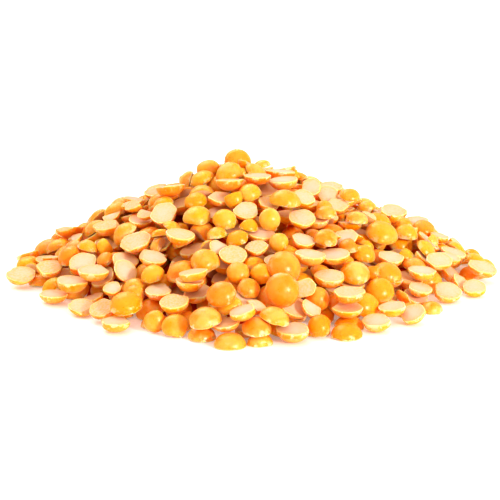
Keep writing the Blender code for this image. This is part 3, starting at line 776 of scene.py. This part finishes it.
def half_pea(name, steps):
    """One half pea at radius 1, flat face down at Z 0: half a ball, shaped by its steps, its rim rounded."""
    bpy.ops.object.select_all(action="DESELECT")
    bpy.ops.mesh.primitive_uv_sphere_add(segments=SIDES, ring_count=RINGS, radius=1)
    pea = bpy.context.object
    pea.name = name
    pea.data.materials.append(skin)
    pea.data.materials.append(flesh)
    bpy.ops.object.mode_set(mode="EDIT")
    bpy.ops.mesh.select_all(action="SELECT")
    bpy.ops.mesh.bisect(plane_co=(0, 0, 0), plane_no=(0, 0, 1), use_fill=True, clear_inner=True)
    select_parts("FACE", lambda f: f.normal.z < -FLAT_DOT)
    call_flesh()
    for step, *sizes in steps:
        step(*sizes)
    select_parts("EDGE", lambda e: len({f.material_index for f in e.link_faces}) > 1)
    bpy.ops.mesh.bevel(offset=RIM_ROUND, segments=RIM_STEPS, material=0, clamp_overlap=True)
    dish_face()
    select_parts("FACE", lambda f: f.material_index == 1 and len(f.verts) > 4)
    if any(f.select for f in bmesh.from_edit_mesh(pea.data).faces):
        bpy.ops.mesh.poke(offset=-BREAK_DEEP)
    bpy.ops.object.mode_set(mode="OBJECT")
    points = np.array([v.co for v in pea.data.vertices])
    faces = [tuple(f.vertices) for f in pea.data.polygons]
    shape = Shape(points, faces, [f.material_index for f in pea.data.polygons])
    bpy.data.meshes.remove(pea.data)
    return shape


# The steps, with their sizes, that make each shape of a kind
RECIPES = {
    "round_halves": (
        (),
        ((press_crown, 0.8), (press_side, 0.95)),
        ((pull_rim, -0.16, 0.3),),
        ((pull_rim, 0.1, 0.5), (spin_pea, 170), (press_side, 0.93)),
        ((press_side, 0.93), (spin_pea, 100), (press_side, 0.95), (pull_rim, -0.1, 0.25)),
    ),
    "cornered_halves": (
        ((press_side, 0.86), (spin_pea, 75), (press_side, 0.84), (spin_pea, 60), (press_side, 0.9)),
        ((press_side, 0.8), (spin_pea, 110), (press_side, 0.88), (spin_pea, 90), (pull_rim, 0.08, 0.4)),
        ((press_side, 0.86), (spin_pea, 60), (press_side, 0.88), (spin_pea, 60), (press_side, 0.86),
         (spin_pea, 60), (press_side, 0.9), (spin_pea, 60), (press_side, 0.88)),
        ((chip_rim, 0.74, 0.75), (spin_pea, 130), (press_side, 0.86)),
        ((chip_rim, 0.66, 0.55), (spin_pea, 80), (press_side, 0.9), (spin_pea, 80), (pull_rim, -0.14, 0.25)),
        ((press_crown, 0.75), (press_side, 0.82), (spin_pea, 140), (press_side, 0.82)),
        ((press_side, 0.78), (spin_pea, 90), (pull_rim, 0.1, 0.5), (spin_pea, 90), (press_side, 0.84),
         (spin_pea, 95), (pull_rim, 0.08, 0.5)),
        ((press_side, 0.74), (spin_pea, 65), (press_side, 0.9), (spin_pea, 120), (press_side, 0.88),
         (pull_rim, -0.12, 0.2)),
    ),
    "broken_pieces": (
        ((break_off, -BROKEN_CUTS[0]), (spin_pea, 0), (pull_rim, 0.06, 0.4)),
        ((break_off, -BROKEN_CUTS[1]), (pull_rim, -0.12, 0.3)),
        ((break_off, -BROKEN_CUTS[2]), (press_side, 0.88)),
        ((break_off, -BROKEN_CUTS[3]),),
    ),
}


def shapes_of(kind):
    """The modelled half peas of one kind."""
    return [half_pea(f"{kind}_{count}", steps) for count, steps in enumerate(RECIPES[kind])]


def kind_of(pea, shown):
    """Which kind a laid pea is, which shape of that kind, and how much its outline may differ."""
    if pea.cut < pea.half_size[0]:
        share = pea.cut / pea.half_size[0]
        nearest = min(BROKEN_CUTS, key=lambda cut: abs(share - cut))
        return "broken_pieces", BROKEN_CUTS.index(nearest), 1.0
    side, tall = (shown[0], shown[4]) if shown else (None, 0)
    pick = differ.random()
    if side == "back" and tall >= BIG_DOME:
        return "round_halves", 0, DOME_CALM
    kind = "cornered_halves" if side == "face" or pick >= ROUND_SHARE else "round_halves"
    return kind, differ.randrange(len(RECIPES[kind])), 1.0


def uneven(points, whole, face_up, calm):
    """A pea's points with its outline drawn in a little by waves of its own, so that no two are the same."""
    round_by = np.arctan2(points[:, 1], points[:, 0])
    drawn = 1.0
    for waves, most in OUTLINE_WAVES:
        start = differ.uniform(0, 2 * math.pi)
        amount = differ.uniform(0, most) * calm
        drawn = drawn - amount * (0.5 + 0.5 * np.cos(waves * round_by + start))
    made = points * np.stack([drawn, drawn, np.ones(len(points))], axis=1)
    if not whole:
        made[:, 0] = points[:, 0]
    lean = differ.uniform(0, 2 * math.pi)
    along = made[:, 0] * math.cos(lean) + made[:, 1] * math.sin(lean)
    made[:, 2] *= 1 - differ.uniform(0, LEVEL_WOBBLE) * (0.5 + 0.5 * along)
    made[:, 2] *= differ.uniform(*(BOWL_THICK if face_up else DOME_THICK))
    return made


def lowest(points, pea, turn):
    """How far below its middle a laid pea of these points reaches."""
    return ((points * pea.half_size) @ turn[2]).min()


def flat_map(shape):
    """Where each face's corners lie on a pea's own field of the map."""
    points = shape.points
    tall = np.clip(points[:, 2], 0, 1)
    reach = np.hypot(points[:, 0], points[:, 1])
    spread = np.arccos(tall) / (math.pi / 2) / np.maximum(reach, LEAST_REACH)
    back = points[:, :2] * spread[:, None] * BACK_FIELD * HALF_FIELD + BACK_AT
    pale = (points[:, :2] - (FLESH_MIDDLE, 0)) * (1 + FLESH_SPREAD * tall[:, None]) * FLESH_FIELD
    pale = pale * HALF_FIELD + FLESH_AT
    return [(pale if is_flesh else back)[list(face)] for face, is_flesh in zip(shape.faces, shape.flesh)]


def joined_peas(name, laid, shapes):
    """All the peas of one kind as one mesh, each at its place, with its own tones and field of the map."""
    columns = math.ceil(math.sqrt(len(laid) / 2))
    rows = math.ceil(len(laid) / columns)
    maps = [flat_map(shape) for shape in shapes]
    points, own, cast, faces, slots, corners = [], [], [], [], [], []
    count = 0
    for place, (pea, choice, tones, calm) in enumerate(laid):
        shape = shapes[choice]
        turn = matrix_of(pea.turn)
        made = uneven(shape.points, pea.cut >= pea.half_size[0], turn[2][2] < 0, calm)
        world = (made * pea.half_size) @ turn.T + pea.place
        ideal = plain.points.copy()
        ideal[:, 0] = np.maximum(ideal[:, 0], -pea.cut / pea.half_size[0])
        world[:, 2] += lowest(ideal, pea, turn) - lowest(made, pea, turn)
        points.append(world - (MIDDLE_X, MIDDLE_Y, 0))
        own.append(shape.points)
        cast.append(np.tile(tones, (len(made), 1)))
        faces.extend(tuple(count + i for i in face) for face in shape.faces)
        slots.extend(shape.flesh)
        field = np.array((place % columns, place // columns))
        corners.extend((field + c) / (columns, rows) for c in maps[choice])
        count += len(made)
    mesh = bpy.data.meshes.new(name)
    mesh.from_pydata(np.concatenate(points).tolist(), [], faces)
    mesh.materials.append(skin)
    mesh.materials.append(flesh)
    mesh.polygons.foreach_set("material_index", slots)
    places = mesh.attributes.new("own_place", "FLOAT_VECTOR", "POINT")
    places.data.foreach_set("vector", np.concatenate(own).ravel())
    casts = mesh.attributes.new("cast", "FLOAT_COLOR", "POINT")
    casts.data.foreach_set("color", np.concatenate(cast).ravel())
    mesh.uv_layers.new(name="UVMap").data.foreach_set("uv", np.concatenate(corners).ravel())
    mesh.shade_smooth()
    mesh.set_sharp_from_angle(angle=SHARP_FROM)
    piece = bpy.data.objects.new(name, mesh)
    bpy.context.scene.collection.objects.link(piece)
    return piece


def heap_core(heap, surface):
    """The body of the heap, sunk under the peas, so that it shows only as depth between them, in a dark
    red-brown that is painted shade.
    """
    height = np.maximum(np.minimum(surface - CORE_BELOW, heap.mound - LAYERS), CORE_LEAST)
    covered = smoothed(np.where(heap.height > CORE_FROM, 1.0, 0.0))
    inside = reach_share(heap.x, heap.y) < CORE_REACH
    height = np.where((covered > CORE_COVERED) & inside, height, 0.0)
    bpy.ops.object.select_all(action="DESELECT")
    bpy.ops.mesh.primitive_grid_add(x_subdivisions=CORE_CELLS, y_subdivisions=CORE_CELLS,
                                    size=2 * HEAP_REACH)
    core = bpy.context.object
    core.name = "heap_core"
    core.data.name = "heap_core"
    for point in core.data.vertices:
        point.co.z = height[heap.cell(point.co.x, point.co.y)]
    bpy.ops.object.mode_set(mode="EDIT")
    select_parts("VERT", lambda v: v.co.z == 0)
    bpy.ops.mesh.delete(type="VERT")
    bpy.ops.mesh.select_all(action="SELECT")
    bpy.ops.mesh.extrude_region_move(TRANSFORM_OT_translate={"value": (0, 0, -HEAP_TOP)})
    bpy.ops.transform.resize(value=(1, 1, 0), center_override=(0, 0, 0))
    bpy.ops.mesh.select_all(action="SELECT")
    bpy.ops.mesh.normals_make_consistent(inside=False)
    bpy.ops.transform.translate(value=(-MIDDLE_X, -MIDDLE_Y, 0))
    bpy.ops.object.mode_set(mode="OBJECT")
    bpy.ops.object.shade_smooth()
    # The core wears the painted shade of the deep gaps between the peas
    core.data.materials.append(deep_shade)
    return core


def new_node(material, kind, settings=(), **sockets):
    """A node with its settings, its plain socket values, and links from other nodes' outputs."""
    node = material.node_tree.nodes.new(kind)
    for key, value in dict(settings).items():
        setattr(node, key, value)
    for key, value in sockets.items():
        socket = node.inputs[int(key[1:]) if key[1:].isdigit() else key.replace("_", " ")]
        if isinstance(value, bpy.types.NodeSocket):
            material.node_tree.links.new(value, socket)
        else:
            socket.default_value = value
    return node


def ramp(material, factor, stops):
    """Colours along a factor, each stop as (where, colour)."""
    node = new_node(material, "ShaderNodeValToRGB", Fac=factor)
    while len(node.color_ramp.elements) < len(stops):
        node.color_ramp.elements.new(0.5)
    for element, (where, colour) in zip(node.color_ramp.elements, stops):
        element.position = where
        element.color = (*colour, 1)
    return node.outputs["Color"]


def faded(material, factor, span, least=0.0, most=1.0):
    """A grey that runs from the least at the start of a span to the most at its end."""
    return ramp(material, factor, ((span[0], (least,) * 3), (span[1], (most,) * 3)))


def blended(material, factor, first, second):
    """Two colours mixed by a factor, the second as a plain colour."""
    node = new_node(material, "ShaderNodeMix", {"data_type": "RGBA"}, _0=factor, _6=first, _7=(*second, 1))
    return node.outputs[2]


def product(material, first, second):
    """Two factors multiplied."""
    return new_node(material, "ShaderNodeMath", {"operation": "MULTIPLY"}, _0=first, _1=second).outputs[0]


def plain_finish(name):
    """An empty node material with its shader."""
    material = bpy.data.materials.new(name)
    material.use_nodes = True
    return material, material.node_tree.nodes["Principled BSDF"]


def speckle(material, size):
    """Noise over the object with spots of this size."""
    place = new_node(material, "ShaderNodeTexCoord")
    noise = new_node(material, "ShaderNodeTexNoise", Vector=place.outputs["Object"],
                     Scale=1 / size, Detail=SPOT_DETAIL, Roughness=SPOT_ROUGHNESS)
    return noise.outputs["Fac"]


def relief(material, shader, height, deep, strength):
    """Fine relief on a shader."""
    bump = new_node(material, "ShaderNodeBump", Height=height, Distance=deep, Strength=strength)
    material.node_tree.links.new(bump.outputs["Normal"], shader.inputs["Normal"])


def own_parts(material):
    """A pea's own height over its flat face, its reach from its middle, and its three tones."""
    place = new_node(material, "ShaderNodeAttribute", {"attribute_name": "own_place"})
    split = new_node(material, "ShaderNodeSeparateXYZ", Vector=place.outputs["Vector"])
    level = new_node(material, "ShaderNodeCombineXYZ", X=split.outputs["X"], Y=split.outputs["Y"])
    reach = new_node(material, "ShaderNodeVectorMath", {"operation": "LENGTH"}, _0=level.outputs["Vector"])
    cast = new_node(material, "ShaderNodeAttribute", {"attribute_name": "cast"})
    tones = new_node(material, "ShaderNodeSeparateColor", Color=cast.outputs["Color"])
    return split.outputs["Z"], reach.outputs["Value"], [tones.outputs[i] for i in range(3)]


def glow(shader, weight, reach):
    """Light that spreads inside a pea, red furthest."""
    shader.inputs["Subsurface Weight"].default_value = weight
    shader.inputs["Subsurface Radius"].default_value = reach
    shader.inputs["Subsurface Scale"].default_value = GLOW_DEEP


def pea_skin():
    """The rounded back: gold to orange, paler at the rim and in dusty patches, with a waxy gloss."""
    material, shader = plain_finish("pea_skin")
    high, _, (tone, dust, _) = own_parts(material)
    colour = ramp(material, tone, SKIN_TONES)
    patch = faded(material, speckle(material, PATCH_SIZE), DUSTY_SPAN)
    colour = blended(material, product(material, patch, dust), colour, DUSTY)
    edge = faded(material, high, RIM_SPAN, 1.0, 0.0)
    low = faded(material, high, PEEL_SPAN, 1.0, 0.0)
    torn = faded(material, speckle(material, PEEL_SIZE), TORN_SPAN)
    colour = blended(material, edge, colour, RIM_CREAM)
    colour = blended(material, product(material, low, torn), colour, PEEL_PALE)
    material.node_tree.links.new(colour, shader.inputs["Base Color"])
    dull = faded(material, speckle(material, GRAIN_SIZE), GLOSS_SPAN, *SKIN_GLOSS)
    material.node_tree.links.new(dull, shader.inputs["Roughness"])
    relief(material, shader, speckle(material, WRINKLE_SIZE), WRINKLE_DEEP, WRINKLE_SHARE)
    shader.inputs["Specular IOR Level"].default_value = SKIN_SHINE
    shader.inputs["Sheen Weight"].default_value = SKIN_DUST
    shader.inputs["Sheen Roughness"].default_value = DUST_SOFT
    shader.inputs["Sheen Tint"].default_value = (*DUST_TINT, 1)
    glow(shader, SKIN_GLOW, SKIN_REACH)
    return material


def pea_flesh():
    """The split face and the breaks: cream with a peach cast, fine grain and a warmer band near the rim."""
    material, shader = plain_finish("pea_flesh")
    _, reach, (_, _, pale) = own_parts(material)
    colour = ramp(material, pale, FLESH_TONES)
    patch = faded(material, speckle(material, PATCH_SIZE), WARM_SPAN, 0.0, WARM_MOST)
    colour = blended(material, patch, colour, FLESH_WARM)
    grain = faded(material, speckle(material, GRAIN_SIZE), LIGHT_SPAN)
    colour = blended(material, grain, colour, FLESH_LIGHT)
    middle = faded(material, reach, PALE_SPAN, PALE_MOST, 0.0)
    colour = blended(material, product(material, middle, pale), colour, FLESH_PALE)
    band = ramp(material, reach, [(at, (share,) * 3) for at, share in WARM_BAND])
    colour = blended(material, band, colour, FLESH_WARM)
    material.node_tree.links.new(colour, shader.inputs["Base Color"])
    shader.inputs["Roughness"].default_value = FLESH_DULL
    shader.inputs["Specular IOR Level"].default_value = FLESH_SHINE
    relief(material, shader, speckle(material, GRAIN_SIZE), GRAIN_DEEP, GRAIN_SHARE)
    glow(shader, FLESH_GLOW, FLESH_REACH)
    return material


def painted_shade_depths():
    """Painted shade deep between the peas: a dark red-brown standing in for shaded skins."""
    material, shader = plain_finish("painted_shade_depths")
    # Dark red-brown painted shade, varied in patches
    colour = ramp(material, speckle(material, PATCH_SIZE), DEPTH_SHADE_TONES)
    material.node_tree.links.new(colour, shader.inputs["Base Color"])
    shader.inputs["Roughness"].default_value = DEPTH_DULL
    relief(material, shader, speckle(material, PATCH_SIZE), DEPTH_BUMP, DEPTH_SHARE)
    return material


def white_floor():
    """The plain floor under the heap, lit a little from within so that it stays white."""
    material, shader = plain_finish("white_floor")
    shader.inputs["Base Color"].default_value = FLOOR_WHITE
    shader.inputs["Roughness"].default_value = FLOOR_DULL
    shader.inputs["Emission Color"].default_value = FLOOR_WHITE
    shader.inputs["Emission Strength"].default_value = FLOOR_LIT
    bpy.ops.object.select_all(action="DESELECT")
    bpy.ops.mesh.primitive_plane_add(size=FLOOR_WIDE, location=(0, 0, -FLOOR_GAP))
    floor = bpy.context.object
    floor.name = "floor"
    floor.data.materials.append(material)


def soft_box(name, azimuth, elevation, away, size, power):
    """A square light that faces the heap, this many degrees round from the front and up."""
    light = bpy.data.lights.new(name, "AREA")
    light.size = size
    light.energy = power
    box = bpy.data.objects.new(name, light)
    bpy.context.scene.collection.objects.link(box)
    turn, rise = math.radians(azimuth), math.radians(elevation)
    way = Vector((math.sin(turn) * math.cos(rise), -math.cos(turn) * math.cos(rise), math.sin(rise)))
    box.location = way * away
    box.rotation_euler = (-way).to_track_quat("-Z", "Y").to_euler()


def bright_room():
    """An even light all round, the soft boxes, and a print with strong contrast."""
    world = bpy.data.worlds.new("bright_room")
    world.use_nodes = True
    world.node_tree.nodes["Background"].inputs["Color"].default_value = ROOM_WHITE
    world.node_tree.nodes["Background"].inputs["Strength"].default_value = ROOM_BRIGHT
    bpy.context.scene.world = world
    bpy.context.scene.view_settings.view_transform = "Standard"
    bpy.context.scene.view_settings.look = "High Contrast"
    for box in SOFT_BOXES:
        soft_box(*box)


def front_camera():
    """The camera at the eye of the front view, aimed as the layout takes it."""
    camera = bpy.data.objects.new("camera", bpy.data.cameras.new("camera"))
    bpy.context.scene.collection.objects.link(camera)
    camera.data.lens = LENS
    camera.data.sensor_width = SENSOR
    aim = Vector((AIM_X - MIDDLE_X, -MIDDLE_Y, AIM_Z))
    back = Vector((0, -VIEW_COS, VIEW_SIN))
    camera.location = aim + back * VIEW_AWAY
    camera.rotation_euler = (-back).to_track_quat("-Z", "Y").to_euler()
    bpy.context.scene.camera = camera


def peas_by_kind(heap, surface):
    """The laid peas of each kind that can be seen, each with its shape, its tones and how calm it is."""
    laid = {kind: [] for kind in RECIPES}
    areas = heap.shown_area()
    shown_peas = dict(enumerate(SHOWN_PEAS, heap.first_shown))
    for number, pea in enumerate(heap.peas):
        kind, choice, calm = kind_of(pea, shown_peas.get(number))
        tones = (differ.random(), differ.random(), differ.random(), 1.0)
        x, y, z = pea.place
        if areas[number] > 0 or z >= surface[heap.cell(x, y)] - DEEPEST_KEPT:
            laid[kind].append((pea, choice, tones, calm))
    return laid


skin = pea_skin()
flesh = pea_flesh()
# The painted shade that the core shows in the gaps between the peas
deep_shade = painted_shade_depths()
differ = random.Random(WOBBLE_SEED)
front_camera()
white_floor()
bright_room()
heap = laid_heap()
surface = smoothed(heap.height)
laid = peas_by_kind(heap, surface)
plain = half_pea("plain_half", ())
pieces = [joined_peas(kind, peas, shapes_of(kind)) for kind, peas in laid.items()]
pieces.append(heap_core(heap, surface))
for piece in pieces:
    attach(piece, "root")
    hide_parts("pea_heap")
